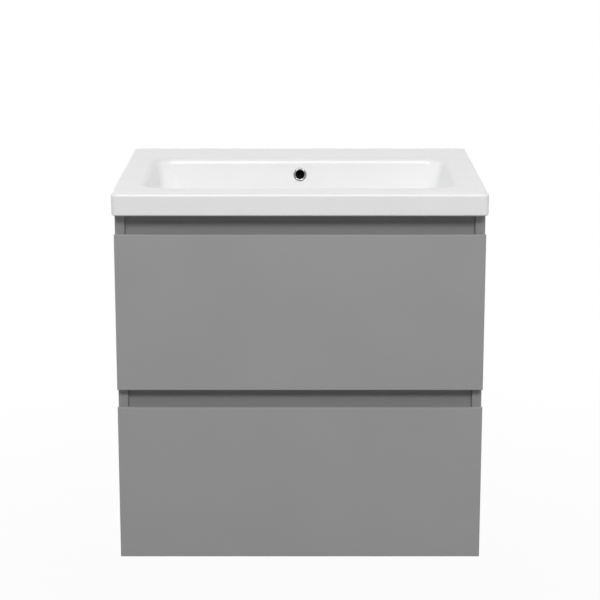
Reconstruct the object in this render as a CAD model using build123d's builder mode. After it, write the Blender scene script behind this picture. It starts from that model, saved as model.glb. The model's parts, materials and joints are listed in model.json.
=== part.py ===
"""Wall-hung bathroom vanity: a glazed ceramic basin on a cabinet with two handleless drawers.

Millimetres. +X is to the right as seen from the front, the front faces -Y and +Z is up.
The origin is the middle of the footprint, in the plane of the cabinet's underside.
"""

import os
from math import cos, radians, sin, tan

from build123d import *

# ------------------------------------------------------------------ driving sizes
# Cabinet
cabinet_width = 600
board = 16                    # side, bottom and rail boards
front_thickness = 18
front_height = 260            # both drawer fronts
grip_gap = 30                 # finger gap between the two fronts
top_gap = 33                  # finger gap between the basin and the upper front
stop_gap = 2                  # from a closed front to the cabinet's front edges
grip_setback = 7              # from the cabinet's front edges to the face of a grip rail
upper_grip_rail_height = 60
middle_grip_rail_height = 64
rail_end_chamfer = 0.4
back_rail_height = 100
back_rail_inset = 12          # space behind the back rails for the wall plates
front_grip_edge = 5           # flat top of a front, before its finger bevel
front_edge_radius = 1
panel_edge_radius = 0.8

# Basin
basin_side_overhang = 2.5
basin_depth = 460
basin_rim = 37
basin_overhang = 12           # basin's front ahead of the drawer fronts
basin_corner_radius = 8
basin_top_radius = 6
basin_bottom_chamfer = 2
basin_skirt = 20              # bearing width of the rim
deck_thickness = 14
bowl_wall = 10
bowl_side_rim = 47.5          # deck beside the bowl, to the sharp edge
bowl_front_rim = 53           # deck in front of the bowl, to the sharp edge
bowl_back_deck = 118          # deck behind the bowl, to the sharp edge
bowl_depth = 118
bowl_side_draft = 10          # degrees
bowl_front_draft = 20
bowl_back_draft = 8
bowl_corner_radius = 34
bowl_floor_radius = 27
bowl_lip_radius = 11

# Waste, overflow and plug
waste_from_wall = 220
waste_hole_radius = 23
waste_seat_radius = 34
waste_seat_depth = 3
dish_radius = 105
dish_depth = 6
waste_boss_radius = 44
waste_boss_depth = 27         # ceramic under the seat
overflow_depth = 28           # centre of the overflow below the deck
overflow_hole_radius = 11
overflow_duct_width = 56
overflow_duct_wall = 8
overflow_duct_bore = 11
ring_radius = 12
ring_bore_radius = 7.8
ring_thickness = 2
ring_spigot_length = 9
ring_play = 0.3
waste_bore_radius = 16.5
waste_shank_radius = 20.4
waste_thread_radius = 20.95   # G 1 1/4
waste_thread_length = 28
waste_tail_length = 73        # below the seat
waste_flange_radius = 33.4
waste_flange_thickness = 2.6
waste_flange_chamfer = 0.8
waste_neck_radius = 22.6      # inside the hole in the ceramic
waste_neck_height = 7
waste_mouth_radius = 21.3
waste_mouth_depth = 5
waste_nut_height = 12
waste_nut_radius = 32
waste_nut_play = 0.1
waste_nut_chamfer = 1
waste_seal_thickness = 3
waste_seal_radius = 30
waste_seal_play = 0.3
spider_height = 8
spider_hub_radius = 8
spider_arms = 3
spider_arm = 3                # width of each arm
spider_rooting = 1            # of each arm in the wall of the waste
plug_radius = 29
plug_thickness = 4
plug_edge = 1.4
plug_stem_radius = 4.9
plug_stem_play = 0.3
plug_stem_below_guide = 5
plug_rest_gap = 0.3           # lowered plug above the waste's flange
plug_seal_radius = 21
plug_seal_width = 4
plug_seal_height = 3.2

# Drawers
drawer_board = 15
drawer_board_edge = 1
drawer_length = 350
box_over_board = 9            # lower box above the bottom panel
box_over_rail = 9             # upper box above the middle grip rail
box_under_rail = 18           # lower box below the middle grip rail
box_under_bowl = 6            # upper box below the basin's waste boss
box_floor_thickness = 8
box_floor_rise = 10           # groove above the lower edge of the box
groove_depth = 6
groove_clearance = 0.2
trap_recess_width = 160
trap_recess_wall = 12
trap_recess_front_y = -60
front_screw_radius = 2
front_screw_head_radius = 4.5
front_screw_head = 2.4
front_screw_length = 26
front_screw_play = 0.1
front_screw_tip_gap = 1
front_screw_margin = 40

# Telescopic runners
runner_width = 12.7           # between the side panel and the drawer side
runner_height = 46
runner_sheet = 1.2
runner_lip = 2.4
runner_drawer_gap = 2.2       # from the cabinet member to the drawer side
runner_length = 350
runner_front_inset = 2
runner_play = 0.4

# Hangers and wall plates
hanger_width = 15
hanger_depth = 62
hanger_height = 55
hanger_drop = 8               # below the top of the cabinet
hanger_edge = 2
hook_width = 11
hook_thickness = 4
hook_rooting = 12             # of the hook in its housing
hook_tongue = 14
adjuster_radius = 4
adjuster_height = 2
adjuster_spacing = 27
wall_plate_thickness = 3
wall_plate_width = 62
wall_plate_height = 52
wall_screw_radius = 3.5
wall_screw_spacing = 23
wall_plate_inset = 1          # from the side panels
hook_play = 0.3

# Buffers between the fronts and the cabinet
buffer_radius = 4
buffer_play = 0.3
buffer_margin = 10

# ------------------------------------------------------------------ derived places
cabinet_height = 2 * front_height + grip_gap + top_gap
basin_top_z = cabinet_height + basin_rim
wall_y = basin_depth / 2
basin_front_y = -basin_depth / 2
front_face_y = basin_front_y + basin_overhang
front_back_y = front_face_y + front_thickness
cabinet_front_y = front_back_y + stop_gap
grip_face_y = cabinet_front_y + grip_setback
basin_width = cabinet_width + 2 * basin_side_overhang
bowl_half_width = basin_width / 2 - bowl_side_rim
middle_rail_z = front_height + grip_gap / 2 - middle_grip_rail_height / 2
inner_x = cabinet_width / 2 - board
wall_screw_x = inner_x - wall_plate_inset - wall_plate_width / 2
back_rail_y = wall_y - back_rail_inset - board
upper_front_z = front_height + grip_gap
bowl_front_y = basin_front_y + bowl_front_rim
bowl_back_y = wall_y - bowl_back_deck
waste_y = wall_y - waste_from_wall
floor_z = basin_top_z - bowl_depth
seat_top_z = floor_z - dish_depth
seat_z = seat_top_z - waste_seat_depth
boss_z = seat_z - waste_boss_depth
box_outer_x = inner_x - runner_width
box_inner_x = box_outer_x - drawer_board
box_back_y = front_back_y + drawer_length


def save(piece, name):
    """Labels a finished piece and writes it as one STEP file."""
    piece.part.label = name
    export_step(piece.part, f"parts/{name}.step")


def block(low, high, mode=Mode.ADD):
    """Adds or cuts a box between two corners in the part being built."""
    with BuildSketch(Plane.XY.offset(low[2])) as outline:
        with Locations(((low[0] + high[0]) / 2, (low[1] + high[1]) / 2)):
            Rectangle(high[0] - low[0], high[1] - low[1])
    extrude(outline.sketch, amount=high[2] - low[2], mode=mode)


def turn(points, mode=Mode.ADD):
    """Adds or cuts a form of revolution about the waste's axis, from its (radius, z) outline."""
    with BuildSketch(Plane.XZ.offset(-waste_y)) as outline:
        with BuildLine():
            Polyline(*points, close=True)
        make_face()
    revolve(outline.sketch, axis=Axis((0, waste_y, 0), (0, 0, 1)), mode=mode)


def board_piece(name, low, high):
    """Writes a plain board between two corners."""
    with BuildPart() as piece:
        block(low, high)
    save(piece, name)


# ------------------------------------------------------------------ ceramic basin
def bowl_back_at(depth):
    """y of the bowl's inner back wall at a depth below the deck."""
    return bowl_back_y - depth * tan(radians(bowl_back_draft))


def bowl_front_at(depth):
    """y of the bowl's inner front wall at a depth below the deck."""
    return bowl_front_y + depth * tan(radians(bowl_front_draft))


def bowl_side_at(depth):
    """x of the bowl's inner right wall at a depth below the deck."""
    return bowl_half_width - depth * tan(radians(bowl_side_draft))


def bowl_form(top_depth, bottom_depth, wall, floor_radius=0):
    """The bowl as a solid between two depths, its faces wall outside the inner ones."""
    top_z = basin_top_z - top_depth
    bottom_z = basin_top_z - bottom_depth
    with BuildPart() as form:
        with BuildSketch(Plane.YZ):
            with BuildLine():
                Polyline(
                    (bowl_front_at(top_depth) - wall, top_z),
                    (bowl_back_at(top_depth) + wall, top_z),
                    (bowl_back_at(bottom_depth) + wall, bottom_z),
                    (bowl_front_at(bottom_depth) - wall, bottom_z),
                    close=True,
                )
            make_face()
        extrude(amount=basin_width / 2, both=True)
        with BuildSketch(Plane.XZ):
            with BuildLine():
                Polyline(
                    (-bowl_side_at(top_depth) - wall, top_z),
                    (bowl_side_at(top_depth) + wall, top_z),
                    (bowl_side_at(bottom_depth) + wall, bottom_z),
                    (-bowl_side_at(bottom_depth) - wall, bottom_z),
                    close=True,
                )
            make_face()
        extrude(amount=basin_depth, both=True, mode=Mode.INTERSECT)
        fillet(form.edges().group_by(Axis.Z)[1], bowl_corner_radius + wall)
        if floor_radius:
            fillet(form.faces().sort_by(Axis.Z)[0].edges(), floor_radius)
    return form.part


def duct_profile(wall, top_z, bottom_z, rise):
    """L-shaped run behind and under the bowl: wall is its distance from the bowl, rise its thickness."""
    depth_top = basin_top_z - top_z
    depth_bottom = basin_top_z - bottom_z
    with BuildSketch(Plane.YZ) as profile:
        with BuildLine():
            Polyline(
                (bowl_back_at(depth_top) + wall, top_z),
                (bowl_back_at(depth_top) + wall + rise, top_z),
                (bowl_back_at(depth_bottom) + wall + rise, bottom_z),
                (waste_y, bottom_z),
                (waste_y, bottom_z + rise),
                (bowl_back_at(depth_bottom - rise) + wall, bottom_z + rise),
                close=True,
            )
        make_face()
        knee = profile.vertices().sort_by(lambda corner: corner.X - corner.Y)[-1]
        fillet(knee, rise)
    return profile.sketch


def overflow_plane():
    """On the bowl's back wall at the overflow, facing into the bowl."""
    draft = radians(bowl_back_draft)
    origin = (0, bowl_back_at(overflow_depth), basin_top_z - overflow_depth)
    return Plane(origin=origin, x_dir=(1, 0, 0), z_dir=(0, -cos(draft), sin(draft)))


def make_basin():
    """Rim and deck, hollow below, with the bowl, the waste boss and the overflow duct in one casting."""
    under_deck_z = basin_top_z - deck_thickness
    duct_reach = 2 * overflow_duct_wall + overflow_duct_bore
    bowl_outside = bowl_form(deck_thickness / 2, bowl_depth + bowl_wall, bowl_wall)
    bowl_inside = bowl_form(0, bowl_depth, 0, bowl_floor_radius)
    rib = duct_profile(0, under_deck_z, boss_z, duct_reach)
    channel_top_z = basin_top_z - overflow_depth + ring_radius
    channel_low_z = boss_z + overflow_duct_wall
    channel = duct_profile(overflow_duct_wall, channel_top_z, channel_low_z, overflow_duct_bore)
    channel_width = overflow_duct_width - 2 * overflow_duct_wall
    with BuildPart() as basin:
        with BuildSketch(Plane.XY.offset(cabinet_height)):
            RectangleRounded(basin_width, basin_depth, basin_corner_radius)
        extrude(amount=basin_rim)
        fillet(basin.faces().sort_by(Axis.Z)[-1].edges(), basin_top_radius)
        chamfer(basin.faces().sort_by(Axis.Z)[0].edges(), basin_bottom_chamfer)
        hollow_width = basin_width - 2 * basin_skirt
        hollow_depth = basin_depth - 2 * basin_skirt
        with BuildSketch(Plane.XY.offset(cabinet_height)):
            RectangleRounded(hollow_width, hollow_depth, basin_corner_radius)
        extrude(amount=basin_rim - deck_thickness, mode=Mode.SUBTRACT)

        add(bowl_outside)
        extrude(rib, amount=overflow_duct_width / 2, both=True)
        with BuildSketch(Plane.XY.offset(boss_z)):
            with Locations((0, waste_y)):
                Circle(waste_boss_radius)
        extrude(amount=floor_z - boss_z)

        add(bowl_inside, mode=Mode.SUBTRACT)
        turn(
            [
                (0, floor_z),
                (dish_radius, floor_z),
                (waste_seat_radius, seat_top_z),
                (waste_seat_radius, seat_z),
                (waste_hole_radius, seat_z),
                (waste_hole_radius, boss_z),
                (0, boss_z),
            ],
            mode=Mode.SUBTRACT,
        )
        extrude(channel, amount=channel_width / 2, both=True, mode=Mode.SUBTRACT)
        with BuildSketch(overflow_plane()):
            Circle(overflow_hole_radius)
        extrude(amount=-(overflow_duct_wall + overflow_duct_bore / 2), mode=Mode.SUBTRACT)

        deck = basin.faces().filter_by(Axis.Z).sort_by(Axis.Z)[-1]
        fillet(deck.inner_wires()[0].edges(), bowl_lip_radius)
    save(basin, "basin")


def make_overflow_ring():
    """Flanged ring pushed into the overflow hole."""
    plane = overflow_plane()
    with BuildPart() as ring:
        with BuildSketch(plane):
            Circle(ring_radius)
        extrude(amount=ring_thickness)
        chamfer(ring.faces().sort_by(Axis.Y)[0].edges(), ring_thickness / 2)
        with BuildSketch(plane):
            Circle(overflow_hole_radius - ring_play)
        extrude(amount=-ring_spigot_length)
        with BuildSketch(plane.offset(ring_thickness)):
            Circle(ring_bore_radius)
        extrude(amount=-(ring_thickness + ring_spigot_length), mode=Mode.SUBTRACT)
    save(ring, "overflow_ring")


# ------------------------------------------------------------------ waste and plug
def make_waste():
    """Waste body with its flange, overflow windows and plug guide, then its seal, nut and plug."""
    flange_top = seat_z + waste_flange_thickness
    tail_z = seat_z - waste_tail_length
    thread_top = tail_z + waste_thread_length
    neck_z = seat_z - waste_neck_height
    guide_z = boss_z - waste_seal_thickness
    with BuildPart() as body:
        turn([
            (waste_bore_radius, tail_z),
            (waste_thread_radius, tail_z),
            (waste_thread_radius, thread_top),
            (waste_shank_radius, thread_top),
            (waste_shank_radius, neck_z),
            (waste_neck_radius, neck_z),
            (waste_neck_radius, seat_z),
            (waste_flange_radius, seat_z),
            (waste_flange_radius, flange_top - waste_flange_chamfer),
            (waste_flange_radius - waste_flange_chamfer, flange_top),
            (waste_mouth_radius, flange_top),
            (waste_mouth_radius, flange_top - waste_mouth_depth),
            (waste_bore_radius, flange_top - waste_mouth_depth),
        ])
        window_z = boss_z + overflow_duct_wall
        with BuildSketch(Plane.XZ.offset(-waste_y)):
            with Locations((0, window_z + overflow_duct_bore / 2)):
                Rectangle(waste_bore_radius, overflow_duct_bore)
        extrude(amount=waste_thread_radius, both=True, mode=Mode.SUBTRACT)
        with BuildSketch(Plane.XY.offset(guide_z - spider_height)):
            with Locations((0, waste_y)):
                Circle(spider_hub_radius)
                with PolarLocations(0, spider_arms):
                    with Locations(((waste_bore_radius + spider_rooting) / 2, 0)):
                        Rectangle(waste_bore_radius + spider_rooting, spider_arm)
        extrude(amount=spider_height)
        with BuildSketch(Plane.XY.offset(guide_z - spider_height)):
            with Locations((0, waste_y)):
                Circle(plug_stem_radius + plug_stem_play)
        extrude(amount=spider_height, mode=Mode.SUBTRACT)
    save(body, "waste_body")

    with BuildPart() as seal:
        with BuildSketch(Plane.XY.offset(guide_z)):
            with Locations((0, waste_y)):
                Circle(waste_seal_radius)
                Circle(waste_shank_radius + waste_seal_play, mode=Mode.SUBTRACT)
        extrude(amount=waste_seal_thickness)
    save(seal, "waste_seal")

    with BuildPart() as nut:
        with BuildSketch(Plane.XY.offset(guide_z - waste_nut_height)):
            with Locations((0, waste_y)):
                RegularPolygon(waste_nut_radius, 6)
                Circle(waste_shank_radius + waste_nut_play, mode=Mode.SUBTRACT)
        extrude(amount=waste_nut_height)
        chamfer(nut.faces().sort_by(Axis.Z)[0].outer_wire().edges(), waste_nut_chamfer)
    save(nut, "waste_nut")

    cap_z = flange_top + plug_rest_gap
    stem_end = guide_z - spider_height - plug_stem_below_guide
    seal_core_radius = plug_seal_radius - plug_seal_width
    with BuildPart() as plug:
        turn([
            (0, cap_z),
            (plug_radius, cap_z),
            (plug_radius, cap_z + plug_thickness - plug_edge),
            (plug_radius - plug_edge, cap_z + plug_thickness),
            (0, cap_z + plug_thickness),
        ])
        with BuildSketch(Plane.XY.offset(stem_end)):
            with Locations((0, waste_y)):
                Circle(plug_stem_radius)
        extrude(amount=cap_z - stem_end)
        with BuildSketch(Plane.XY.offset(cap_z - plug_seal_height)):
            with Locations((0, waste_y)):
                Circle(seal_core_radius)
        extrude(amount=plug_seal_height)
    save(plug, "waste_plug")

    with BuildPart() as plug_ring:
        with BuildSketch(Plane.XY.offset(cap_z - plug_seal_height)):
            with Locations((0, waste_y)):
                Circle(plug_seal_radius)
                Circle(seal_core_radius, mode=Mode.SUBTRACT)
        extrude(amount=plug_seal_height)
    save(plug_ring, "plug_seal")


# ------------------------------------------------------------------ cabinet
def make_cabinet():
    """Sides, bottom, the two grip rails behind the finger gaps and the two back rails."""
    for side, name in ((-1, "left_side_panel"), (1, "right_side_panel")):
        with BuildPart() as panel:
            with BuildSketch(Plane.YZ.offset(side * (cabinet_width - board) / 2)):
                with Locations(((cabinet_front_y + wall_y) / 2, cabinet_height / 2)):
                    Rectangle(wall_y - cabinet_front_y, cabinet_height)
            extrude(amount=board / 2, both=True)
            front_edges = panel.faces().sort_by(Axis.Y)[0].edges().filter_by(Axis.Z)
            chamfer(front_edges, panel_edge_radius)
        save(panel, name)

    board_piece(
        "bottom_panel",
        (-inner_x, cabinet_front_y, 0),
        (inner_x, back_rail_y, board),
    )
    rails = (
        ("upper_grip_rail", cabinet_height - upper_grip_rail_height, upper_grip_rail_height),
        ("middle_grip_rail", middle_rail_z, middle_grip_rail_height),
    )
    for name, low_z, height in rails:
        with BuildPart() as rail:
            block((-inner_x, grip_face_y, low_z), (inner_x, grip_face_y + board, low_z + height))
            ends = rail.faces().sort_by(Axis.Y)[0].edges().filter_by(Axis.Z)
            chamfer(ends, rail_end_chamfer)
        save(rail, name)

    with BuildPart() as upper_back:
        block(
            (-inner_x, back_rail_y, cabinet_height - back_rail_height),
            (inner_x, back_rail_y + board, cabinet_height),
        )
        hook_z = cabinet_height - hanger_drop - hanger_height / 2
        for side in (-1, 1):
            slot_x = side * (inner_x - hanger_width / 2)
            block(
                (slot_x - hanger_width / 2, back_rail_y, hook_z - hanger_height / 4),
                (slot_x + hanger_width / 2, back_rail_y + board, hook_z + hanger_height / 4),
                mode=Mode.SUBTRACT,
            )
    save(upper_back, "upper_back_rail")
    board_piece(
        "lower_back_rail",
        (-inner_x, back_rail_y, 0),
        (inner_x, back_rail_y + board, back_rail_height),
    )

    with BuildPart() as buffers:
        with BuildSketch(Plane.XZ.offset(-cabinet_front_y)):
            for low_z in (0, upper_front_z):
                with Locations((0, low_z + front_height - front_thickness - buffer_margin)):
                    with GridLocations(cabinet_width - board, 1, 2, 1):
                        Circle(buffer_radius)
        extrude(amount=stop_gap - buffer_play)
    save(buffers, "front_buffers")


def make_hangers():
    """Adjustable hangers in the top corners, their hooks, and the plates that are screwed to the wall."""
    top_z = cabinet_height - hanger_drop
    hook_z = top_z - hanger_height / 2
    plate_y = wall_y - wall_plate_thickness
    tongue_back = plate_y - hook_play
    tongue_front = tongue_back - hook_thickness
    hook_root_y = back_rail_y - hook_rooting
    lip_top = hook_z - hook_thickness / 2 - hook_play
    shelf_z = hook_z - hook_tongue - hook_play
    plate_low_z = shelf_z - wall_plate_height
    with BuildPart() as housings:
        for side in (-1, 1):
            x = side * (inner_x - hanger_width / 2)
            block(
                (x - hanger_width / 2, back_rail_y - hanger_depth, top_z - hanger_height),
                (x + hanger_width / 2, back_rail_y, top_z),
            )
        front_faces = housings.faces().filter_by(Axis.Y).sort_by(Axis.Y)[:2]
        chamfer([edge for face in front_faces for edge in face.edges()], hanger_edge)
        for side in (-1, 1):
            x = side * (inner_x - hanger_width / 2)
            block(
                (x - hook_width / 2 - hook_play, hook_root_y, hook_z - hook_thickness / 2 - hook_play),
                (x + hook_width / 2 + hook_play, back_rail_y, hook_z + hook_thickness / 2 + hook_play),
                mode=Mode.SUBTRACT,
            )
    save(housings, "hanger_housings")

    with BuildPart() as hooks:
        for side in (-1, 1):
            x = side * (inner_x - hanger_width / 2)
            with BuildSketch(Plane.YZ.offset(x)):
                with BuildLine():
                    Polyline(
                        (hook_root_y, hook_z - hook_thickness / 2),
                        (tongue_front, hook_z - hook_thickness / 2),
                        (tongue_front, hook_z - hook_tongue),
                        (tongue_back, hook_z - hook_tongue),
                        (tongue_back, hook_z + hook_thickness / 2),
                        (hook_root_y, hook_z + hook_thickness / 2),
                        close=True,
                    )
                make_face()
            extrude(amount=hook_width / 2, both=True)
    save(hooks, "hanger_hooks")

    with BuildPart() as adjusters:
        with BuildSketch(Plane.XZ.offset(-(back_rail_y - hanger_depth))):
            with Locations((0, top_z - hanger_height / 2)):
                with GridLocations(2 * inner_x - hanger_width, adjuster_spacing, 2, 2):
                    Circle(adjuster_radius)
        extrude(amount=adjuster_height)
    save(adjusters, "hanger_adjusters")

    with BuildPart() as plates:
        for side in (-1, 1):
            low_x = side * wall_screw_x - wall_plate_width / 2
            high_x = side * wall_screw_x + wall_plate_width / 2
            block((low_x, plate_y, plate_low_z), (high_x, wall_y, shelf_z))
            lip_y = tongue_front - hook_play - wall_plate_thickness / 2
            block((low_x, lip_y, shelf_z - wall_plate_thickness), (high_x, wall_y, shelf_z))
            block((low_x, lip_y, shelf_z), (high_x, tongue_front - hook_play, lip_top))
        with BuildSketch(Plane.XZ.offset(-wall_y)):
            with Locations((0, plate_low_z + wall_plate_height / 2)):
                with GridLocations(2 * wall_screw_x, wall_screw_spacing, 2, 2):
                    Circle(wall_screw_radius)
        extrude(amount=wall_plate_thickness, mode=Mode.SUBTRACT)
    save(plates, "wall_plates")


# ------------------------------------------------------------------ runners
def runner_face(plane, rectangles):
    """A folded-sheet section from (u0, u1, z0, z1) strips, u from the side panel towards the drawer."""
    with BuildSketch(plane) as face:
        for u0, u1, z0, z1 in rectangles:
            for flip in (-1, 1):
                with Locations(((u0 + u1) / 2, flip * (z0 + z1) / 2)):
                    Rectangle(u1 - u0, z1 - z0)
    return face.sketch


def runner_sections():
    """Strips of the cabinet, middle and drawer members, which nest inside one another."""
    sheet, play, lip = runner_sheet, runner_play, runner_lip
    half = runner_height / 2
    reach = runner_width - runner_drawer_gap
    cabinet_member = (
        (0, sheet, 0, half),
        (0, reach, half - sheet, half),
        (reach - sheet, reach, half - sheet - lip, half),
    )
    half -= sheet + play
    inner = sheet + 2 * play
    reach -= sheet + play
    middle_member = (
        (inner, inner + sheet, 0, half),
        (inner, reach, half - sheet, half),
        (reach - sheet, reach, half - sheet - lip, half),
    )
    inner += sheet + 2 * play
    lip_outer = half - sheet - play
    half -= sheet + lip + play
    drawer_member = (
        (runner_width - sheet, runner_width, 0, half),
        (inner, runner_width, half - sheet, half),
        (inner, inner + sheet, half - sheet, lip_outer),
    )
    return {"cabinet": cabinet_member, "middle": middle_member, "drawer": drawer_member}


def make_runners(prefix, centre_z):
    """Left and right three-part runners of one drawer, one node for each member."""
    front_y = cabinet_front_y + runner_front_inset
    for side, hand in ((-1, "left"), (1, "right")):
        plane = Plane(
            origin=(side * inner_x, front_y, centre_z), x_dir=(-side, 0, 0), z_dir=(0, side, 0)
        )
        for member, strips in runner_sections().items():
            with BuildPart() as rail:
                extrude(runner_face(plane, strips), amount=side * runner_length)
            save(rail, f"{prefix}_runner_{member}_{hand}")


# ------------------------------------------------------------------ drawers
def make_front(prefix, low_z):
    """Lacquered front with a finger bevel behind its top edge and pilot holes for its screws."""
    high_z = low_z + front_height
    bevel = front_thickness - front_grip_edge
    with BuildPart() as front:
        with BuildSketch(Plane.YZ):
            with BuildLine():
                Polyline(
                    (front_face_y, low_z),
                    (front_face_y, high_z),
                    (front_face_y + front_grip_edge, high_z),
                    (front_back_y, high_z - bevel),
                    (front_back_y, low_z),
                    close=True,
                )
            make_face()
        extrude(amount=cabinet_width / 2, both=True)
        fillet(front.faces().sort_by(Axis.Y)[0].edges(), front_edge_radius)
        pilot_holes = screw_circles(prefix, front_back_y, front_screw_radius)
        extrude(pilot_holes, amount=front_screw_length - drawer_board, mode=Mode.SUBTRACT)
    save(front, f"{prefix}_drawer_front")


def box_heights(prefix):
    """Lowest and highest z of a drawer box."""
    if prefix == "upper":
        return middle_rail_z + middle_grip_rail_height + box_over_rail, boss_z - box_under_bowl
    return board + box_over_board, middle_rail_z - box_under_rail


def front_screw_grid(prefix):
    """Height of the middle of a front's four screws, and their spacing in x and z."""
    low_z, high_z = box_heights(prefix)
    spacing_x = 2 * (box_inner_x - front_screw_margin)
    spacing_z = high_z - low_z - 2 * front_screw_margin
    return (low_z + high_z) / 2, spacing_x, spacing_z


def screw_circles(prefix, y, radius):
    """The four screws' circles in the upright plane at y, as a sketch facing the front."""
    middle_z, spacing_x, spacing_z = front_screw_grid(prefix)
    with BuildSketch(Plane.XZ.offset(-y)) as circles:
        with Locations((0, middle_z)):
            with GridLocations(spacing_x, spacing_z, 2, 2):
                Circle(radius)
    return circles.sketch


def make_box(prefix):
    """Four-sided box with a grooved-in floor. The upper box is notched from behind for the trap."""
    low_z, high_z = box_heights(prefix)
    floor_low = low_z + box_floor_rise
    floor_high = floor_low + box_floor_thickness
    inner_front_y = front_back_y + drawer_board
    inner_back_y = box_back_y - drawer_board
    groove = groove_clearance
    half_recess = trap_recess_width / 2 if prefix == "upper" else 0

    def floor_groove():
        """Cuts the groove that all four walls have for the floor."""
        reach_x = box_inner_x + groove_depth + groove
        block(
            (-reach_x, inner_front_y - groove_depth - groove, floor_low),
            (reach_x, inner_back_y + groove_depth + groove, floor_high + groove),
            mode=Mode.SUBTRACT,
        )

    for side, hand in ((-1, "left"), (1, "right")):
        near, far = sorted((side * box_inner_x, side * box_outer_x))
        with BuildPart() as wall:
            block((near, front_back_y, low_z), (far, box_back_y, high_z))
            chamfer(wall.faces().sort_by(Axis.Z)[-1].edges().filter_by(Axis.Y), drawer_board_edge)
            floor_groove()
        save(wall, f"{prefix}_box_{hand}_side")

    with BuildPart() as box_front:
        block((-box_inner_x, front_back_y, low_z), (box_inner_x, inner_front_y, high_z))
        floor_groove()
        holes = screw_circles(prefix, inner_front_y, front_screw_radius)
        extrude(holes, amount=drawer_board, mode=Mode.SUBTRACT)
    save(box_front, f"{prefix}_box_front")

    if prefix == "upper":
        for side, hand in ((-1, "left"), (1, "right")):
            near, far = sorted((side * half_recess, side * box_inner_x))
            with BuildPart() as back:
                block((near, inner_back_y, low_z), (far, box_back_y, high_z))
                floor_groove()
            save(back, f"{prefix}_box_back_{hand}")
            near, far = sorted((side * half_recess, side * (half_recess + trap_recess_wall)))
            board_piece(
                f"trap_recess_{hand}_wall",
                (near, trap_recess_front_y, floor_high),
                (far, inner_back_y, high_z),
            )
        board_piece(
            "trap_recess_front_wall",
            (-half_recess - trap_recess_wall, trap_recess_front_y - trap_recess_wall, floor_high),
            (half_recess + trap_recess_wall, trap_recess_front_y, high_z),
        )
    else:
        with BuildPart() as back:
            block((-box_inner_x, inner_back_y, low_z), (box_inner_x, box_back_y, high_z))
            floor_groove()
        save(back, f"{prefix}_box_back")

    with BuildPart() as floor:
        block(
            (-box_inner_x - groove_depth, inner_front_y - groove_depth, floor_low),
            (box_inner_x + groove_depth, inner_back_y + groove_depth, floor_high),
        )
        if half_recess:
            block(
                (-half_recess, trap_recess_front_y, floor_low),
                (half_recess, box_back_y, floor_high),
                mode=Mode.SUBTRACT,
            )
    save(floor, f"{prefix}_box_floor")

    with BuildPart() as screws:
        extrude(screw_circles(prefix, inner_front_y, front_screw_head_radius), amount=-front_screw_head)
        shanks = screw_circles(prefix, inner_front_y, front_screw_radius - front_screw_play)
        extrude(shanks, amount=front_screw_length - front_screw_tip_gap)
    save(screws, f"{prefix}_front_screws")


# ------------------------------------------------------------------ build
os.makedirs("parts", exist_ok=True)
make_basin()
make_overflow_ring()
make_waste()
make_cabinet()
make_hangers()
for drawer, front_z in (("lower", 0), ("upper", upper_front_z)):
    box_low, box_high = box_heights(drawer)
    make_front(drawer, front_z)
    make_box(drawer)
    make_runners(drawer, (box_low + box_high) / 2)
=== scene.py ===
"""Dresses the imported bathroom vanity: finishes, hardware detail, studio and camera."""
import json
from math import cos, pi, radians, sin

import bmesh
import bpy
from mathutils import Matrix, Vector

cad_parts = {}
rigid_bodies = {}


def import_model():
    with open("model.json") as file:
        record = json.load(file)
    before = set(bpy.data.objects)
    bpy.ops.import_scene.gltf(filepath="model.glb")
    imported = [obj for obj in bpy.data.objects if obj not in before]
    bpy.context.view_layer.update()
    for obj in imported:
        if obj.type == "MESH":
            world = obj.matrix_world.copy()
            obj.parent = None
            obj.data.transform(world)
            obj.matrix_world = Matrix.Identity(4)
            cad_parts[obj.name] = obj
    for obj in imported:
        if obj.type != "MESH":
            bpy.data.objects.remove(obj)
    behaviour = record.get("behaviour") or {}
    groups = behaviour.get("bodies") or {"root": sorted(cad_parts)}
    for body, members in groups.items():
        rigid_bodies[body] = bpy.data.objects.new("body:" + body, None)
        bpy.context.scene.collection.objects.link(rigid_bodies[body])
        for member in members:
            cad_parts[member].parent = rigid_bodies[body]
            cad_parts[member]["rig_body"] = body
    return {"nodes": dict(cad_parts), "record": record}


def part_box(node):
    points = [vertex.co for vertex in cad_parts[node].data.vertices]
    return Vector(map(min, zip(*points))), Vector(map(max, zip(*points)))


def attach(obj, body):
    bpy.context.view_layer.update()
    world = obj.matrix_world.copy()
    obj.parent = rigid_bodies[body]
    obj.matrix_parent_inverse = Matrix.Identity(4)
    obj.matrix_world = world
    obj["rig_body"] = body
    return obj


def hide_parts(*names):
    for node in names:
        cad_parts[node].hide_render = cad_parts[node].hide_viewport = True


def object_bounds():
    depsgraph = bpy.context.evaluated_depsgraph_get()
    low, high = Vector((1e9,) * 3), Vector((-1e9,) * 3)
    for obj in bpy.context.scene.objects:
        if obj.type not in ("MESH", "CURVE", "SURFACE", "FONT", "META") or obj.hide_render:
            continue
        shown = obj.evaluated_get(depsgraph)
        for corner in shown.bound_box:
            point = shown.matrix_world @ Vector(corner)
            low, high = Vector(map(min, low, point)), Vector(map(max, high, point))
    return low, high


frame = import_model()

cad_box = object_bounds()
nodes = frame["nodes"]
MM = 0.001

# ------------------------------------------------------------------ sizes, in mm unless noted
CREASE = 32                   # degrees; flatter joins between faces are shaded smooth
WELD = 0.001
FINE_STEPS = 96               # facets round the ring and the dome of the plug
PLAIN_STEPS = 48              # facets round the painted-shade cup, and steps in one turn of the thread
SCREW_STEPS = 32
DOME_STEPS = 6

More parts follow.
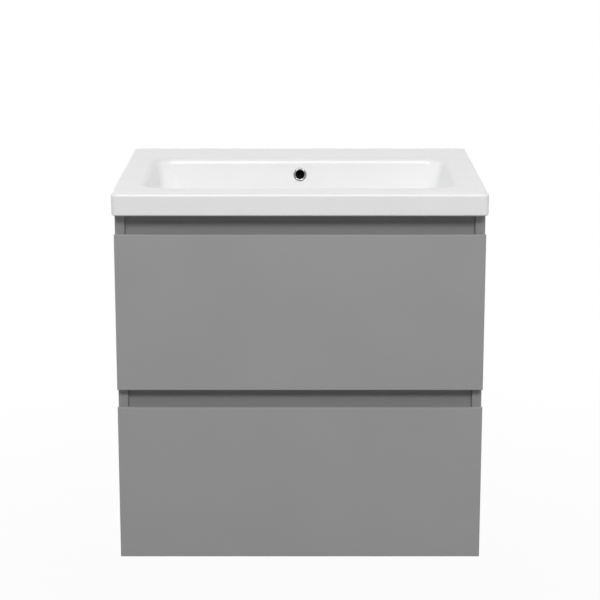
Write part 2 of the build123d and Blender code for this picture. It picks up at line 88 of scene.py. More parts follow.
# overflow
BOWL_BACK_DRAFT = 8           # degrees
OVERFLOW_SEAT = 3.5           # from the ring's front to the bowl's wall on its axis
# painted-shade cup: a black cup in the overflow duct, standing for the shade inside it
SHADE_CUP_RADIUS = 8.6
SHADE_CUP_WALL = 0.8
SHADE_CUP_REACH = (9.2, 17.4)    # behind the bowl's wall
RING_RADIUS = 11.6
RING_BORE = 7.8
RING_SPIGOT = 10.7
RING_SPIGOT_LENGTH = 9
RING_THICKNESS = 2
RING_CROWN = 1.3
RING_CROWN_STEPS = 16
RING_EDGE_GAP = 0.5

# drain dish
BOWL_DEPTH = 118
DISH_SEAT_RADIUS = 34.05      # just outside the recess that takes the waste's flange
DISH_RADIUS = 61
DISH_REACH = 105.4            # as wide as the dish that the basin's solid has
DISH_BACK = 93.2              # from the waste's axis back to the overflow duct
DISH_FALL = 6
DISH_COVER = 0.02             # above the bowl's floor
DISH_SINK = 0.4               # into the china below
DISH_PROFILE_STEPS = 16
DISH_STEPS = 144

# plug and waste tail
PLUG_DOME_MARGIN = 1.7
PLUG_DOME_SINK = 0.3
PLUG_DOME_HEIGHT = 0.9
TAIL_THREAD_LENGTH = 28
TAIL_THREAD_PITCH = 2.309
TAIL_THREAD_RADIUS = 20.95
TAIL_THREAD_HEIGHT = 0.6
THREAD_SINK = 0.1
THREAD_FLANK = 0.4            # half the width of the ridge's foot, as a share of the pitch

# screws
FRONT_SCREW_HEAD = 4.5
FRONT_SCREW_HEAD_HEIGHT = 2.4
FRONT_SCREW_SHANK = 1.9
ADJUSTER_RADIUS = 4
ADJUSTER_SHANK = 2.5
SCREW_TIP = 0.3               # radius of the tip, as a share of the shank's
SCREW_TAPER = 0.8             # where the tip's taper starts, as a share of the shank's length
CROSS_SPAN = 1.15             # the cross recess, as shares of the head's radius and height
CROSS_ARM = 0.26
CROSS_FLOOR = 0.35
CROSS_TOP = 1.5

# runners
RUNNER_SHEET = 1.2
RUNNER_HOLE = 5
RUNNER_HOLES = (              # place as a share of the runner's length, length of the slot
    (0.1, 9), (0.2, 5), (0.3, 5), (0.5, 9), (0.62, 5), (0.78, 5), (0.92, 9),
)
RUNNER_SCREW_HEAD = 3.6
RUNNER_SCREW_HEIGHT = 1.6
RUNNER_SCREW_SHANK = 1.9

# edge bands
BAND_CORNER = 0.5
BAND_SINK = 0.2
BAND_PROUD = 0.5
BAND_EASING = 0.25            # bevel along the top edges
BAND_INSET = 0.6
SIDE_BAND_INSET = 1.2

# camera
CAMERA_DISTANCE = 2.99        # m ahead of the basin
CAMERA_RISE = 0.548           # m above the basin
CAMERA_PITCH = 13.23          # degrees
CAMERA_SENSOR = 36
CAMERA_LENS = 114.2
CAMERA_SHIFT = -0.02          # share of the frame's width

# studio
AMBIENT = 0.04
SOFT_BOX_DISTANCE = 4.5       # m
SOFT_BOXES = {                # name: (azimuth, elevation, size in m, watts)
    "key": (-13, 32, 0.8, 41),
    "second_key": (20, 32, 0.8, 42),
    "overhead": (0, 50, 2.2, 58),
    "left_side": (-90, 30, 2.2, 46),
    "right_side": (90, 30, 2.2, 32),
    "back_left": (-150, 30, 2.2, 30),
    "back_right": (150, 30, 2.2, 30),
}
FLOOR_SIZE = 12.0             # m
FLOOR_DROP = 0.23             # m under the cabinet, which hangs on its wall
FLOOR_GREY = "#B4B4B4"
FLOOR_GLOW = 0.955            # share of white that the eye sees under the cabinet
FLOOR_FADE = (0.4, 1.8)       # m from the middle, over which the floor turns fully white


# ------------------------------------------------------------------ materials
def linear(hex_colour):
    """sRGB hex to the linear RGBA that shaders use."""
    channels = [int(hex_colour[i:i + 2], 16) / 255 for i in (1, 3, 5)]
    return [c / 12.92 if c <= 0.04045 else ((c + 0.055) / 1.055) ** 2.4 for c in channels] + [1.0]


def add_node(tree, kind, inputs=None, stops=(), **settings):
    """Adds one node with its settings, and sets each named input to a value or links it to an output.
    A colour ramp also gets its stops, each a place and a hex colour."""
    node = tree.nodes.new(kind)
    for name, value in settings.items():
        setattr(node, name, value)
    for i, (position, colour) in enumerate(stops):
        node.color_ramp.elements[i].position = position
        node.color_ramp.elements[i].color = linear(colour)
    for name, value in (inputs or {}).items():
        socket = node.inputs[name]
        if isinstance(value, bpy.types.NodeSocket):
            tree.links.new(value, socket)
        else:
            socket.default_value = value
    return node


def new_material(name, roughness, metallic=0.0, ior=1.5, **constants):
    """A material with its shader's constant values set, and the object's own coordinates."""
    material = bpy.data.materials.new(name)
    material.use_nodes = True
    tree = material.node_tree
    shader = tree.nodes["Principled BSDF"]
    shader.inputs["Roughness"].default_value = roughness
    shader.inputs["Metallic"].default_value = metallic
    shader.inputs["IOR"].default_value = ior
    for socket, value in constants.items():
        shader.inputs[socket.replace("_", " ")].default_value = value
    place = add_node(tree, "ShaderNodeTexCoord").outputs["Object"]
    return material, tree, shader, place


def glazed_vitreous_china():
    """Fired glaze over white china: an even, soft gloss, with slow waves that bend its highlights."""
    pool_width = 70 * MM
    wave_length = 45 * MM
    wave_height = 0.6 * MM
    material, tree, shader, place = new_material("glazed_vitreous_china", 0.28, ior=1.52)
    pools = add_node(tree, "ShaderNodeTexNoise", {"Vector": place, "Scale": 1 / pool_width, "Detail": 2.0})
    colour = add_node(
        tree, "ShaderNodeValToRGB", {"Fac": pools.outputs["Fac"]}, [(0.3, "#F0F0F0"), (0.7, "#F3F3F3")]
    )
    tree.links.new(colour.outputs["Color"], shader.inputs["Base Color"])
    waves = add_node(tree, "ShaderNodeTexNoise", {"Vector": place, "Scale": 1 / wave_length, "Detail": 1.0})
    bump = add_node(
        tree, "ShaderNodeBump", {"Height": waves.outputs["Fac"], "Strength": 0.03, "Distance": wave_height}
    )
    tree.links.new(bump.outputs["Normal"], shader.inputs["Normal"])
    return material


def matt_lacquer_on_mdf():
    """Sprayed and cured matt lacquer: even grey with a broad sheen and a trace of orange peel."""
    cloud_width = 160 * MM
    # Real orange peel is under a millimetre across; it is drawn at 2.2 mm so that it shows.
    peel_width = 2.2 * MM
    peel_height = 0.05 * MM
    material, tree, shader, place = new_material("matt_lacquer_on_mdf", 0.55, ior=1.45)
    clouds = add_node(tree, "ShaderNodeTexNoise", {"Vector": place, "Scale": 1 / cloud_width, "Detail": 3.0})
    colour = add_node(
        tree, "ShaderNodeValToRGB", {"Fac": clouds.outputs["Fac"]}, [(0.3, "#9A9A9A"), (0.7, "#9D9D9D")]
    )
    tree.links.new(colour.outputs["Color"], shader.inputs["Base Color"])
    peel = add_node(tree, "ShaderNodeTexNoise", {"Vector": place, "Scale": 1 / peel_width, "Detail": 1.0})
    bump = add_node(
        tree, "ShaderNodeBump", {"Height": peel.outputs["Fac"], "Strength": 0.12, "Distance": peel_height}
    )
    tree.links.new(bump.outputs["Normal"], shader.inputs["Normal"])
    return material


def linen_melamine():
    """Melamine paper pressed with a linen weave: uneven threads across each other, in light and mid grey."""
    # Real threads lie under a millimetre apart; they are drawn 4.735 mm apart so that they show.
    thread = 4.735 * MM
    thread_height = 0.1 * MM
    wave_repeat = pi / 10         # repeat of a wave texture whose scale is 1
    material, tree, shader, place = new_material("linen_melamine", 0.48, ior=1.5)
    along_x, along_y, along_z = (
        add_node(
            tree, "ShaderNodeTexWave",
            {
                "Vector": place, "Scale": wave_repeat / thread,
                "Distortion": 3.0, "Detail": 2.0, "Detail Scale": 2.0,
            },
            bands_direction=axis,
        ).outputs["Fac"]
        for axis in ("X", "Y", "Z")
    )
    two_ways = add_node(tree, "ShaderNodeMath", {0: along_x, 1: along_y}, operation="ADD")
    all_ways = add_node(tree, "ShaderNodeMath", {0: two_ways.outputs[0], 1: along_z}, operation="ADD")
    weave = add_node(tree, "ShaderNodeMath", {0: all_ways.outputs[0], 1: 3.0}, operation="DIVIDE")
    colour = add_node(
        tree, "ShaderNodeValToRGB", {"Fac": weave.outputs[0]}, [(0.25, "#9C9B99"), (0.75, "#B7B6B3")]
    )
    tree.links.new(colour.outputs["Color"], shader.inputs["Base Color"])
    bump = add_node(
        tree, "ShaderNodeBump", {"Height": weave.outputs[0], "Strength": 0.3, "Distance": thread_height}
    )
    tree.links.new(bump.outputs["Normal"], shader.inputs["Normal"])
    return material


def chrome_on_brass_with_painted_reflection():
    """Electroplated chrome over polished brass: a hard mirror, slightly duller where it was wiped, and set
    darker than bare chrome as painted dark reflections.
    """
    wipe_width = 9 * MM
    material, tree, shader, place = new_material("chrome_on_brass_with_painted_reflection", 0.06, metallic=1.0)
    wipes = add_node(tree, "ShaderNodeTexNoise", {"Vector": place, "Scale": 1 / wipe_width, "Detail": 4.0})
    # Painted reflection: the base colour is darker than chrome's own, standing for dark surroundings in the
    # mirror; the wipes vary it only slightly.
    colour = add_node(
        tree, "ShaderNodeValToRGB", {"Fac": wipes.outputs["Fac"]}, [(0.3, "#8E8F8F"), (0.7, "#989999")]
    )
    tree.links.new(colour.outputs["Color"], shader.inputs["Base Color"])
    dull = add_node(
        tree, "ShaderNodeMapRange", {"Value": wipes.outputs["Fac"], "To Min": 0.04, "To Max": 0.1}
    )
    tree.links.new(dull.outputs["Result"], shader.inputs["Roughness"])
    return material


def zinc_plated_steel():
    """Cold-rolled strip, zinc plated: cool grey with faint streaks along the rolling direction."""
    # Real rolling marks are a fraction of a millimetre wide; they are drawn at 1.6 mm so that they show.
    streak_width = 1.6 * MM
    streak_stretch = (1.0, 0.06, 0.2)
    material, tree, shader, place = new_material("zinc_plated_steel", 0.35, metallic=1.0)
    along = add_node(tree, "ShaderNodeMapping", {"Vector": place, "Scale": streak_stretch})
    streaks = add_node(
        tree, "ShaderNodeTexNoise",
        {"Vector": along.outputs["Vector"], "Scale": 1 / streak_width, "Detail": 4.0},
    )
    colour = add_node(
        tree, "ShaderNodeValToRGB", {"Fac": streaks.outputs["Fac"]}, [(0.3, "#AEB1B5"), (0.7, "#C2C5C8")]
    )
    tree.links.new(colour.outputs["Color"], shader.inputs["Base Color"])
    dull = add_node(
        tree, "ShaderNodeMapRange", {"Value": streaks.outputs["Fac"], "To Min": 0.26, "To Max": 0.44}
    )
    tree.links.new(dull.outputs["Result"], shader.inputs["Roughness"])
    return material


def moulded_polyamide():
    """Injection-moulded nylon: off-white and slightly waxy, with the grain of a spark-eroded mould."""
    # Real mould grain is about a tenth of a millimetre; it is drawn at 0.9 mm so that it shows.
    grain_width = 0.9 * MM
    grain_height = 0.1 * MM
    material, tree, shader, place = new_material("moulded_polyamide", 0.42, ior=1.53)
    grain = add_node(tree, "ShaderNodeTexNoise", {"Vector": place, "Scale": 1 / grain_width, "Detail": 2.0})
    colour = add_node(
        tree, "ShaderNodeValToRGB", {"Fac": grain.outputs["Fac"]}, [(0.3, "#C9C9C6"), (0.7, "#D4D4D1")]
    )
    tree.links.new(colour.outputs["Color"], shader.inputs["Base Color"])
    bump = add_node(
        tree, "ShaderNodeBump", {"Height": grain.outputs["Fac"], "Strength": 0.3, "Distance": grain_height}
    )
    tree.links.new(bump.outputs["Normal"], shader.inputs["Normal"])
    return material


def cast_polyurethane():
    """Clear soft bumper domes, cast: milky, with a wet highlight."""
    haze_width = 3 * MM
    material, tree, shader, place = new_material("cast_polyurethane", 0.18, ior=1.49)
    haze = add_node(tree, "ShaderNodeTexNoise", {"Vector": place, "Scale": 1 / haze_width, "Detail": 1.0})
    colour = add_node(
        tree, "ShaderNodeValToRGB", {"Fac": haze.outputs["Fac"]}, [(0.3, "#AEB0B0"), (0.7, "#BCBEBE")]
    )
    tree.links.new(colour.outputs["Color"], shader.inputs["Base Color"])
    return material


def nitrile_rubber():
    """Moulded nitrile rubber: near black and dull, with a bloom that greys it slightly."""
    bloom_width = 4 * MM
    material, tree, shader, place = new_material("nitrile_rubber", 0.8, ior=1.52, Specular_IOR_Level=0.15)
    bloom = add_node(tree, "ShaderNodeTexNoise", {"Vector": place, "Scale": 1 / bloom_width, "Detail": 3.0})
    colour = add_node(
        tree, "ShaderNodeValToRGB", {"Fac": bloom.outputs["Fac"]}, [(0.3, "#0E0E0E"), (0.7, "#171717")]
    )
    tree.links.new(colour.outputs["Color"], shader.inputs["Base Color"])
    return material


def extruded_abs():
    """ABS edge band, extruded and embossed: a shade lighter than the board, with a satin sheen."""
    drift_width = 25 * MM
    # Real embossing is about a fifth of a millimetre across; it is drawn at 0.7 mm so that it shows.
    emboss_width = 0.7 * MM
    emboss_height = 0.05 * MM
    material, tree, shader, place = new_material("extruded_abs", 0.38, ior=1.54)
    drift = add_node(tree, "ShaderNodeTexNoise", {"Vector": place, "Scale": 1 / drift_width, "Detail": 2.0})
    colour = add_node(
        tree, "ShaderNodeValToRGB", {"Fac": drift.outputs["Fac"]}, [(0.3, "#B4B3B0"), (0.7, "#BEBDBA")]
    )
    tree.links.new(colour.outputs["Color"], shader.inputs["Base Color"])
    emboss = add_node(tree, "ShaderNodeTexNoise", {"Vector": place, "Scale": 1 / emboss_width, "Detail": 1.0})
    bump = add_node(
        tree, "ShaderNodeBump", {"Height": emboss.outputs["Fac"], "Strength": 0.2, "Distance": emboss_height}
    )
    tree.links.new(bump.outputs["Normal"], shader.inputs["Normal"])
    return material


EDGE_BAND = extruded_abs()
ZINCED_STEEL = zinc_plated_steel()
FINISHES = {
    "glazed_ceramic": glazed_vitreous_china(),
    "grey_lacquer": matt_lacquer_on_mdf(),
    "drawer_board": linen_melamine(),
    "chrome_plate": chrome_on_brass_with_painted_reflection(),
    "zinc_steel": ZINCED_STEEL,
    "screw_steel": ZINCED_STEEL,
    "moulded_nylon": moulded_polyamide(),
    "clear_buffer": cast_polyurethane(),
    "rubber_seal": nitrile_rubber(),
}


def dress_cad_nodes():
    """Gives every CAD node the finish of its slot in the record."""
    for subpart in frame["record"]["subparts"]:
        mesh = nodes[subpart["node"]].data
        mesh.materials.clear()
        mesh.materials.append(FINISHES[subpart["material_slot"]])


# ------------------------------------------------------------------ outlines, in mm
def oblong(length, width, steps=12):
    """Outline of a slot with round ends, along x. A slot as long as it is wide is a circle."""
    straight = (length - width) / 2
    radius = width / 2
    outline = []
    for end in (1, -1):
        for step in range(steps + 1):
            angle = pi * step / steps - pi / 2
            outline.append((end * (straight + radius * cos(angle)), end * radius * sin(angle)))
    return outline


def cross(span, arm):
    """Outline of a plus sign, for the recess of a cross-head screw."""
    a = span / 2
    b = arm / 2
    return [
        (a, -b), (a, b), (b, b), (b, a), (-b, a), (-b, b),
        (-a, b), (-a, -b), (-b, -b), (-b, -a), (b, -a), (b, -b),
    ]


def rounded(width, height, radius, steps=4):
    """Outline of a rectangle with round corners."""
    outline = []
    for quarter in range(4):
        side_x = 1 if quarter in (0, 3) else -1
        side_y = 1 if quarter < 2 else -1
        for step in range(steps + 1):
            angle = pi / 2 * (quarter + step / steps)
            outline.append((
                side_x * (width / 2 - radius) + radius * cos(angle),
                side_y * (height / 2 - radius) + radius * sin(angle),
            ))
    return outline


def dome(radius, low, high):
    """Profile of a dome for a lathe, from its rim at height low to its top on the axis."""
    profile = []
    for step in range(DOME_STEPS):
        angle = pi / 2 * step / DOME_STEPS
        profile.append((radius * cos(angle), low + (high - low) * sin(angle)))
    return profile + [(0, high)]


# ------------------------------------------------------------------ mesh tools
def lathe(form, profile, place, steps):
    """Adds a turned solid: (radius, height) points in mm, revolved about the local Z axis of place."""
    rings = []
    for radius, height in profile:
        if radius == 0:
            rings.append([form.verts.new(place @ Vector((0, 0, height * MM)))])
            continue
        ring = []
        for step in range(steps):
            angle = 2 * pi * step / steps
            point = Vector((radius * cos(angle), radius * sin(angle), height)) * MM
            ring.append(form.verts.new(place @ point))
        rings.append(ring)
    for lower, upper in zip(rings, rings[1:]):
        for step in range(steps):
            ahead = step + 1
            corners = [
                lower[step % len(lower)], lower[ahead % len(lower)],
                upper[ahead % len(upper)], upper[step % len(upper)],
            ]
            form.faces.new(list(dict.fromkeys(corners)))


def prism(form, outline, place, low, high):
    """Adds a straight solid from an (x, y) outline in mm, between two heights on the Z axis of place."""
    lower = [form.verts.new(place @ (Vector((x, y, low)) * MM)) for x, y in outline]
    upper = [form.verts.new(place @ (Vector((x, y, high)) * MM)) for x, y in outline]
    form.faces.new(lower[::-1])
    form.faces.new(upper)
    for i in range(len(outline)):
        j = (i + 1) % len(outline)
        form.faces.new((lower[i], lower[j], upper[j], upper[i]))


def facing(centre, normal):
    """A place at centre whose local Z axis points along normal, with its Y axis as upright as it can be."""
    z = Vector(normal).normalized()
    x = Vector((0, 0, 1)).cross(z) if abs(z.z) < 0.9 else Vector((1, 0, 0))
    x.normalize()
    y = z.cross(x)
    turned = Matrix((x, y, z)).transposed().to_4x4()
    return Matrix.Translation(centre) @ turned


def loose_object(name, form):
    """A bmesh as an object, with its faces pointing outwards."""
    bmesh.ops.remove_doubles(form, verts=form.verts, dist=WELD * MM)
    bmesh.ops.recalc_face_normals(form, faces=form.faces)
    mesh = bpy.data.meshes.new(name)
    form.to_mesh(mesh)
    form.free()
    piece = bpy.data.objects.new(name, mesh)
    bpy.context.scene.collection.objects.link(piece)
    return piece


def carve(piece, cut):
    """Cuts the closed solids of a bmesh out of a piece."""
    cutter = loose_object("cutter", cut)
    modifier = piece.modifiers.new("carve", "BOOLEAN")
    modifier.object = cutter
    modifier.solver = "EXACT"
    graph = bpy.context.evaluated_depsgraph_get()
    carved = bpy.data.meshes.new_from_object(piece.evaluated_get(graph))
    piece.modifiers.clear()
    piece.data = carved
    bpy.data.objects.remove(cutter)


def fit_piece(piece, body, slot, finish=None):
    """Puts a finished piece on the body that carries it, smooth between creases, in its slot's finish."""
    mesh = piece.data
    mesh.shade_smooth()
    mesh.set_sharp_from_angle(angle=radians(CREASE))
    mesh.materials.clear()
    mesh.materials.append(finish or FINISHES[slot])
    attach(piece, body)


# ------------------------------------------------------------------ overflow
def overflow_place(way):
    """A place on the overflow's axis, at the bowl's wall. Its Z axis points into the duct for way 1 and into
    the bowl for way -1."""
    low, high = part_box("overflow_ring")
    draft = radians(BOWL_BACK_DRAFT)
    seat = Vector((0, low.y + OVERFLOW_SEAT * MM, (low.z + high.z) / 2))
    return facing(seat, (0, way * cos(draft), -way * sin(draft)))


def make_overflow_painted_shade_cup():
    """Black rubber cup behind the overflow ring, open towards the bowl: painted shade that closes the view
    into the duct, so the hole shows black.
    """
    start, end = SHADE_CUP_REACH
    bore = SHADE_CUP_RADIUS - SHADE_CUP_WALL
    profile = [
        (0, end), (SHADE_CUP_RADIUS, end), (SHADE_CUP_RADIUS, start),
        (bore, start), (bore, end - SHADE_CUP_WALL), (0, end - SHADE_CUP_WALL),
    ]
    form = bmesh.new()
    lathe(form, profile, overflow_place(1), PLAIN_STEPS)
    # Painted shade: the cup is black to stand for the dark inside of the duct; its rubber_seal slot only
    # picks the black finish.
    fit_piece(loose_object("overflow_painted_shade_cup", form), "cabinet", "rubber_seal")


def make_polished_ring():
    """The overflow ring as spun and polished: a crowned flange whose rolled edge stands off the glaze."""
    crown_radius = (RING_RADIUS + RING_BORE) / 2
    crown_reach = (RING_RADIUS - RING_BORE) / 2
    profile = [
        (RING_SPIGOT, -RING_SPIGOT_LENGTH), (RING_SPIGOT, 0),
        (RING_RADIUS - RING_EDGE_GAP, 0), (RING_RADIUS - RING_EDGE_GAP / 2, RING_EDGE_GAP),
    ]
    for step in range(RING_CROWN_STEPS + 1):
        angle = pi * step / RING_CROWN_STEPS
        height = RING_THICKNESS - RING_CROWN + RING_CROWN * sin(angle)
        profile.append((crown_radius + crown_reach * cos(angle), height))
    profile.append((RING_BORE, -RING_SPIGOT_LENGTH))
    profile.append(profile[0])
    form = bmesh.new()
    lathe(form, profile, overflow_place(-1), FINE_STEPS)
    ring = loose_object("overflow_ring_polished", form)
    fit_piece(ring, "cabinet", "chrome_plate")
    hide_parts("overflow_ring")


# ------------------------------------------------------------------ drain dish, plug and waste
def make_drain_dish():
    """Glazed dish that leads the bowl's floor down to the waste. It also closes the foot of the back wall,
    which the wider dish of the basin's solid cuts under."""
    low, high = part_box("waste_body")
    floor_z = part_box("basin")[1].z - BOWL_DEPTH * MM
    place = facing(((low.x + high.x) / 2, (low.y + high.y) / 2, floor_z), (0, 0, 1))
    profile = []
    for step in range(DISH_PROFILE_STEPS + 1):
        share = step / DISH_PROFILE_STEPS
        radius = DISH_SEAT_RADIUS + (DISH_RADIUS - DISH_SEAT_RADIUS) * share
        profile.append((radius, DISH_COVER - DISH_FALL * (1 - sin(pi / 2 * share))))
    profile.append((DISH_REACH, DISH_COVER))
    profile.append((DISH_REACH, -DISH_SINK))
    profile.append((DISH_SEAT_RADIUS, -DISH_FALL - DISH_SINK))
    profile.append(profile[0])
    form, cut = bmesh.new(), bmesh.new()
    lathe(form, profile, place, DISH_STEPS)
    behind = [
        (-DISH_REACH, DISH_BACK), (DISH_REACH, DISH_BACK),
        (DISH_REACH, 2 * DISH_REACH), (-DISH_REACH, 2 * DISH_REACH),
    ]
    prism(cut, behind, place, -DISH_FALL, DISH_FALL)
    dish = loose_object("drain_dish_glaze", form)
    carve(dish, cut)
    fit_piece(dish, "cabinet", "glazed_ceramic")


def make_plug_dome():
    """Shallow dome on the plug, which gives it the lens of light that pressed caps have."""
    low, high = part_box("waste_plug")
    radius = (high.x - low.x) / 2 / MM - PLUG_DOME_MARGIN
    profile = [(0, -PLUG_DOME_SINK), (radius, -PLUG_DOME_SINK)] + dome(radius, 0, PLUG_DOME_HEIGHT)
    form = bmesh.new()
    lathe(form, profile, facing(((low.x + high.x) / 2, (low.y + high.y) / 2, high.z), (0, 0, 1)), FINE_STEPS)
    fit_piece(loose_object("plug_dome", form), "waste_plug", "chrome_plate")


def make_tail_thread():
    """Pipe thread on the waste's tail, as a helical ridge that runs out at both ends."""
    low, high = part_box("waste_body")
    tail_x = (low.x + high.x) / 2
    tail_y = (low.y + high.y) / 2
    foot = TAIL_THREAD_PITCH * THREAD_FLANK
    climb = TAIL_THREAD_LENGTH - TAIL_THREAD_PITCH
    count = int(TAIL_THREAD_LENGTH / TAIL_THREAD_PITCH * PLAIN_STEPS)
    form = bmesh.new()
    rows = []
    for step in range(count + 1):
        angle = 2 * pi * step / PLAIN_STEPS
        middle = TAIL_THREAD_PITCH / 2 + climb * step / count
        height = TAIL_THREAD_HEIGHT * min(1, step / PLAIN_STEPS, (count - step) / PLAIN_STEPS)
        row = []
        for rise, offset in ((-THREAD_SINK, -foot), (height, 0), (-THREAD_SINK, foot)):
            radius = (TAIL_THREAD_RADIUS + rise) * MM
            z = low.z + (middle + offset) * MM
            row.append(form.verts.new((tail_x + radius * cos(angle), tail_y + radius * sin(angle), z)))
        rows.append(row)
    for before, after in zip(rows, rows[1:]):
        for i in range(3):
            j = (i + 1) % 3
            form.faces.new((before[i], before[j], after[j], after[i]))
    form.faces.new(rows[0])
    form.faces.new(rows[-1][::-1])
    fit_piece(loose_object("waste_tail_thread", form), "cabinet", "chrome_plate")


# ------------------------------------------------------------------ screws
def add_screw(form, recess, place, head_radius, head_height, shank_radius, shank_length):
    """Adds a pan-head screw to one bmesh and its cross recess to another. Z of place is out of the head."""
    profile = [
        (0, -shank_length), (shank_radius * SCREW_TIP, -shank_length),
        (shank_radius, -shank_length * SCREW_TAPER), (shank_radius, 0), (head_radius, 0),
    ]
    lathe(form, profile + dome(head_radius, head_height / 2, head_height), place, SCREW_STEPS)
    outline = cross(CROSS_SPAN * head_radius, CROSS_ARM * head_radius)
    prism(recess, outline, place, head_height * CROSS_FLOOR, head_height * CROSS_TOP)


def corner_places(node, head_radius, seat_y, normal):
    """Places for four screws whose heads touch the corners of a node's box, as seen along y."""
    low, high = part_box(node)
    inset = head_radius * MM
    return [
        facing((x, seat_y, z), normal)
        for x in (low.x + inset, high.x - inset) for z in (low.z + inset, high.z - inset)
    ]


def make_front_screws(drawer):
    """The four cross-head screws that hold a drawer front, seen inside the drawer."""
    node = f"{drawer}_front_screws"
    low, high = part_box(node)
    seat_y = high.y - FRONT_SCREW_HEAD_HEIGHT * MM
    shank_length = (seat_y - low.y) / MM
    form, recess = bmesh.new(), bmesh.new()
    for place in corner_places(node, FRONT_SCREW_HEAD, seat_y, (0, 1, 0)):
        add_screw(
            form, recess, place, FRONT_SCREW_HEAD, FRONT_SCREW_HEAD_HEIGHT, FRONT_SCREW_SHANK, shank_length
        )
    screws = loose_object(f"{drawer}_front_cross_screws", form)
    carve(screws, recess)
    fit_piece(screws, f"{drawer}_drawer", "screw_steel")
    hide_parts(node)


def make_adjuster_screws():
    """Cross-head adjusting screws in the fronts of the hangers."""
    low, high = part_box("hanger_adjusters")
    height = (high.y - low.y) / MM
    form, recess = bmesh.new(), bmesh.new()
    for place in corner_places("hanger_adjusters", ADJUSTER_RADIUS, high.y, (0, -1, 0)):
        add_screw(form, recess, place, ADJUSTER_RADIUS, height, ADJUSTER_SHANK, ADJUSTER_SHANK)
    screws = loose_object("hanger_cross_adjusters", form)
    carve(screws, recess)
    fit_piece(screws, "cabinet", "zinc_steel")
    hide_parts("hanger_adjusters")


# ------------------------------------------------------------------ runners
def make_punched_runner(drawer, member, hand):
    """A runner member as folded from punched strip: the node's section with holes and slots in its web."""
    node = f"{drawer}_runner_{member}_{hand}"
    body = nodes[node]["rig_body"]
    low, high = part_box(node)
    web_is_high_x = (member == "drawer") == (hand == "left")
    web_x = high.x if web_is_high_x else low.x
    slots = []
    cut = bmesh.new()
    for share, length in RUNNER_HOLES:
        centre = Vector((web_x, low.y + share * (high.y - low.y), (low.z + high.z) / 2))
        outline = oblong(length, RUNNER_HOLE)
        prism(cut, outline, facing(centre, (1, 0, 0)), -2 * RUNNER_SHEET, 2 * RUNNER_SHEET)
        if length > RUNNER_HOLE:
            slots.append(centre)
    piece = bpy.data.objects.new(f"{node}_punched", nodes[node].data.copy())
    bpy.context.scene.collection.objects.link(piece)
    carve(piece, cut)
    fit_piece(piece, body, "zinc_steel")
    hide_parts(node)
    if member == "drawer":
        make_runner_screws(f"{drawer}_runner_screws_{hand}", body, slots, 1 if hand == "left" else -1)


def make_runner_screws(name, body, slots, into_box):
    """Cross-head screws through a drawer member's slots. into_box is the sign of x from runner to box."""
    form, recess = bmesh.new(), bmesh.new()
    for centre in slots:
        place = facing(centre - Vector((into_box * RUNNER_SHEET * MM, 0, 0)), (-into_box, 0, 0))
        add_screw(
            form, recess, place, RUNNER_SCREW_HEAD, RUNNER_SCREW_HEIGHT, RUNNER_SCREW_SHANK, RUNNER_SHEET
        )
    screws = loose_object(name, form)
    carve(screws, recess)
    fit_piece(screws, body, "screw_steel")


# ------------------------------------------------------------------ edge bands
def make_edge_band(name, node, along, inset=BAND_INSET):
    """Thin plastic band on the top edge of a drawer board, along x or y, set in from the board's faces."""
    low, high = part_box(node)
    centre = Vector(((low.x + high.x) / 2, (low.y + high.y) / 2, high.z))
    size_x = (high.x - low.x) / MM
    size_y = (high.y - low.y) / MM
    if along == "x":
        size_y -= 2 * inset
    else:
        size_x -= 2 * inset
    form = bmesh.new()
    prism(form, rounded(size_x, size_y, BAND_CORNER), Matrix.Translation(centre), -BAND_SINK, BAND_PROUD)
    top_edges = [e for e in form.edges if all(v.co.z > centre.z for v in e.verts)]
    bmesh.ops.bevel(form, geom=top_edges, offset=BAND_EASING * MM, segments=2, affect="EDGES")
    fit_piece(loose_object(name, form), nodes[node]["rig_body"], "drawer_board", EDGE_BAND)


# ------------------------------------------------------------------ studio
def make_camera():
    """Long lens, above the basin and tipped down to the fronts."""
    low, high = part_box("basin")
    camera = bpy.data.objects.new("camera", bpy.data.cameras.new("camera"))
    camera.data.sensor_width = CAMERA_SENSOR
    camera.data.lens = CAMERA_LENS
    camera.data.shift_y = CAMERA_SHIFT
    camera.location = (0, low.y - CAMERA_DISTANCE, high.z + CAMERA_RISE)
    camera.rotation_euler = (pi / 2 - radians(CAMERA_PITCH), 0, 0)
    bpy.context.scene.collection.objects.link(camera)
    bpy.context.scene.camera = camera


def make_light(name, azimuth, elevation, size, power):
    """A square soft box aimed at the middle of the object. Those behind it don't show in gloss."""
    low, high = cad_box
    a = radians(azimuth)
    e = radians(elevation)
    towards = Vector((sin(a) * cos(e), -cos(a) * cos(e), sin(e)))
    data = bpy.data.lights.new(name, "AREA")
    data.shape = "SQUARE"
    data.size = size
    data.energy = power
    light = bpy.data.objects.new(name, data)
    light.visible_glossy = not name.startswith("back")
    light.location = (low + high) / 2 + towards * SOFT_BOX_DISTANCE
    light.rotation_euler = towards.to_track_quat("Z", "Y").to_euler()
    bpy.context.scene.collection.objects.link(light)


def seen_share(tree):
    """1 for what the eye, gloss or glass sees, and 0 for the light that falls on the object."""
    path = add_node(tree, "ShaderNodeLightPath")
    eye_or_gloss = add_node(
        tree, "ShaderNodeMath",
        {0: path.outputs["Is Camera Ray"], 1: path.outputs["Is Glossy Ray"]}, operation="MAXIMUM",
    )
    seen = add_node(
        tree, "ShaderNodeMath",
        {0: eye_or_gloss.outputs[0], 1: path.outputs["Is Transmission Ray"]}, operation="MAXIMUM",
    )
    return seen.outputs[0]


def make_world():
    """Even white surroundings: dimmer for the light they give than for what the eye and gloss see."""
    world = bpy.data.worlds.new("studio")
    bpy.context.scene.world = world
    world.use_nodes = True
    tree = world.node_tree
    tree.nodes.clear()
    level = add_node(
        tree, "ShaderNodeMapRange", {"Value": seen_share(tree), "To Min": AMBIENT, "To Max": 1.0}
    )
    white = add_node(
        tree, "ShaderNodeBackground", {"Color": (1, 1, 1, 1), "Strength": level.outputs["Result"]}
    )
    add_node(tree, "ShaderNodeOutputWorld", {"Surface": white.outputs["Background"]})


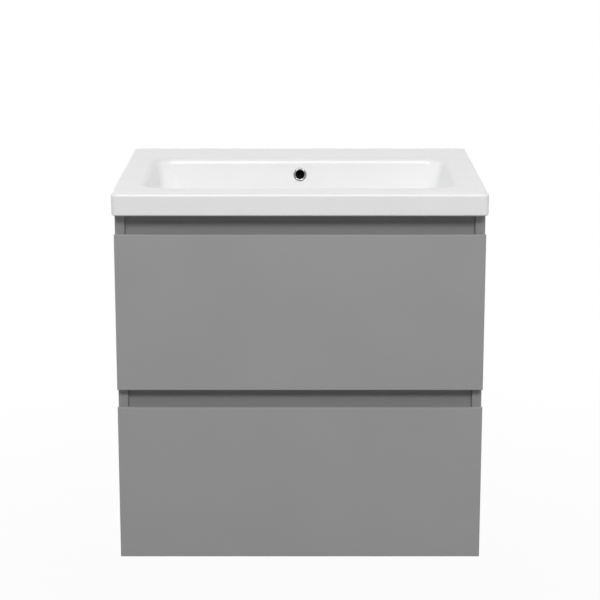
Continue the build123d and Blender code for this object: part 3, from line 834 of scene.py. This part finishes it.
def pale_studio_floor():
    """Matt pale floor that keeps the object's shadow: nearly white by the cabinet and white further out."""
    fade_start, fade_end = FLOOR_FADE
    material = bpy.data.materials.new("pale_studio_floor")
    material.use_nodes = True
    tree = material.node_tree
    tree.nodes.clear()
    matt = add_node(tree, "ShaderNodeBsdfDiffuse", {"Color": linear(FLOOR_GREY)})
    glow = add_node(tree, "ShaderNodeEmission", {"Color": (1, 1, 1, 1), "Strength": 1.0})
    place = add_node(tree, "ShaderNodeTexCoord").outputs["Object"]
    away = add_node(tree, "ShaderNodeVectorMath", {0: place}, operation="LENGTH")
    fade = add_node(
        tree, "ShaderNodeMapRange",
        {
            "Value": away.outputs["Value"], "From Min": fade_start, "From Max": fade_end,
            "To Min": FLOOR_GLOW, "To Max": 1.0,
        },
    )
    share = add_node(
        tree, "ShaderNodeMath", {0: seen_share(tree), 1: fade.outputs["Result"]}, operation="MULTIPLY"
    )
    mixed = add_node(
        tree, "ShaderNodeMixShader",
        {"Fac": share.outputs[0], 1: matt.outputs["BSDF"], 2: glow.outputs["Emission"]},
    )
    add_node(tree, "ShaderNodeOutputMaterial", {"Surface": mixed.outputs["Shader"]})
    return material


def make_floor():
    """Floor under the wall-hung cabinet."""
    mesh = bpy.data.meshes.new("floor")
    form = bmesh.new()
    bmesh.ops.create_grid(form, x_segments=1, y_segments=1, size=FLOOR_SIZE / 2)
    form.to_mesh(mesh)
    form.free()
    mesh.materials.append(pale_studio_floor())
    floor = bpy.data.objects.new("floor", mesh)
    floor.location.z = -FLOOR_DROP
    bpy.context.scene.collection.objects.link(floor)


# ------------------------------------------------------------------ making
make_overflow_painted_shade_cup()
make_polished_ring()
make_drain_dish()
make_plug_dome()
make_tail_thread()
make_adjuster_screws()
for drawer in ("lower", "upper"):
    make_front_screws(drawer)
    for side in ("left", "right"):
        for member in ("cabinet", "middle", "drawer"):
            make_punched_runner(drawer, member, side)
        make_edge_band(f"{drawer}_{side}_side_band", f"{drawer}_box_{side}_side", "y", SIDE_BAND_INSET)
    make_edge_band(f"{drawer}_front_band", f"{drawer}_box_front", "x")
make_edge_band("lower_back_band", "lower_box_back", "x")
for side in ("left", "right"):
    make_edge_band(f"upper_back_{side}_band", f"upper_box_back_{side}", "x")
    make_edge_band(f"trap_recess_{side}_band", f"trap_recess_{side}_wall", "y")
make_edge_band("trap_recess_front_band", "trap_recess_front_wall", "x")
dress_cad_nodes()

make_camera()
make_world()
for name, placing in SOFT_BOXES.items():
    make_light(name, *placing)
make_floor()
bpy.context.scene.view_settings.view_transform = "Standard"
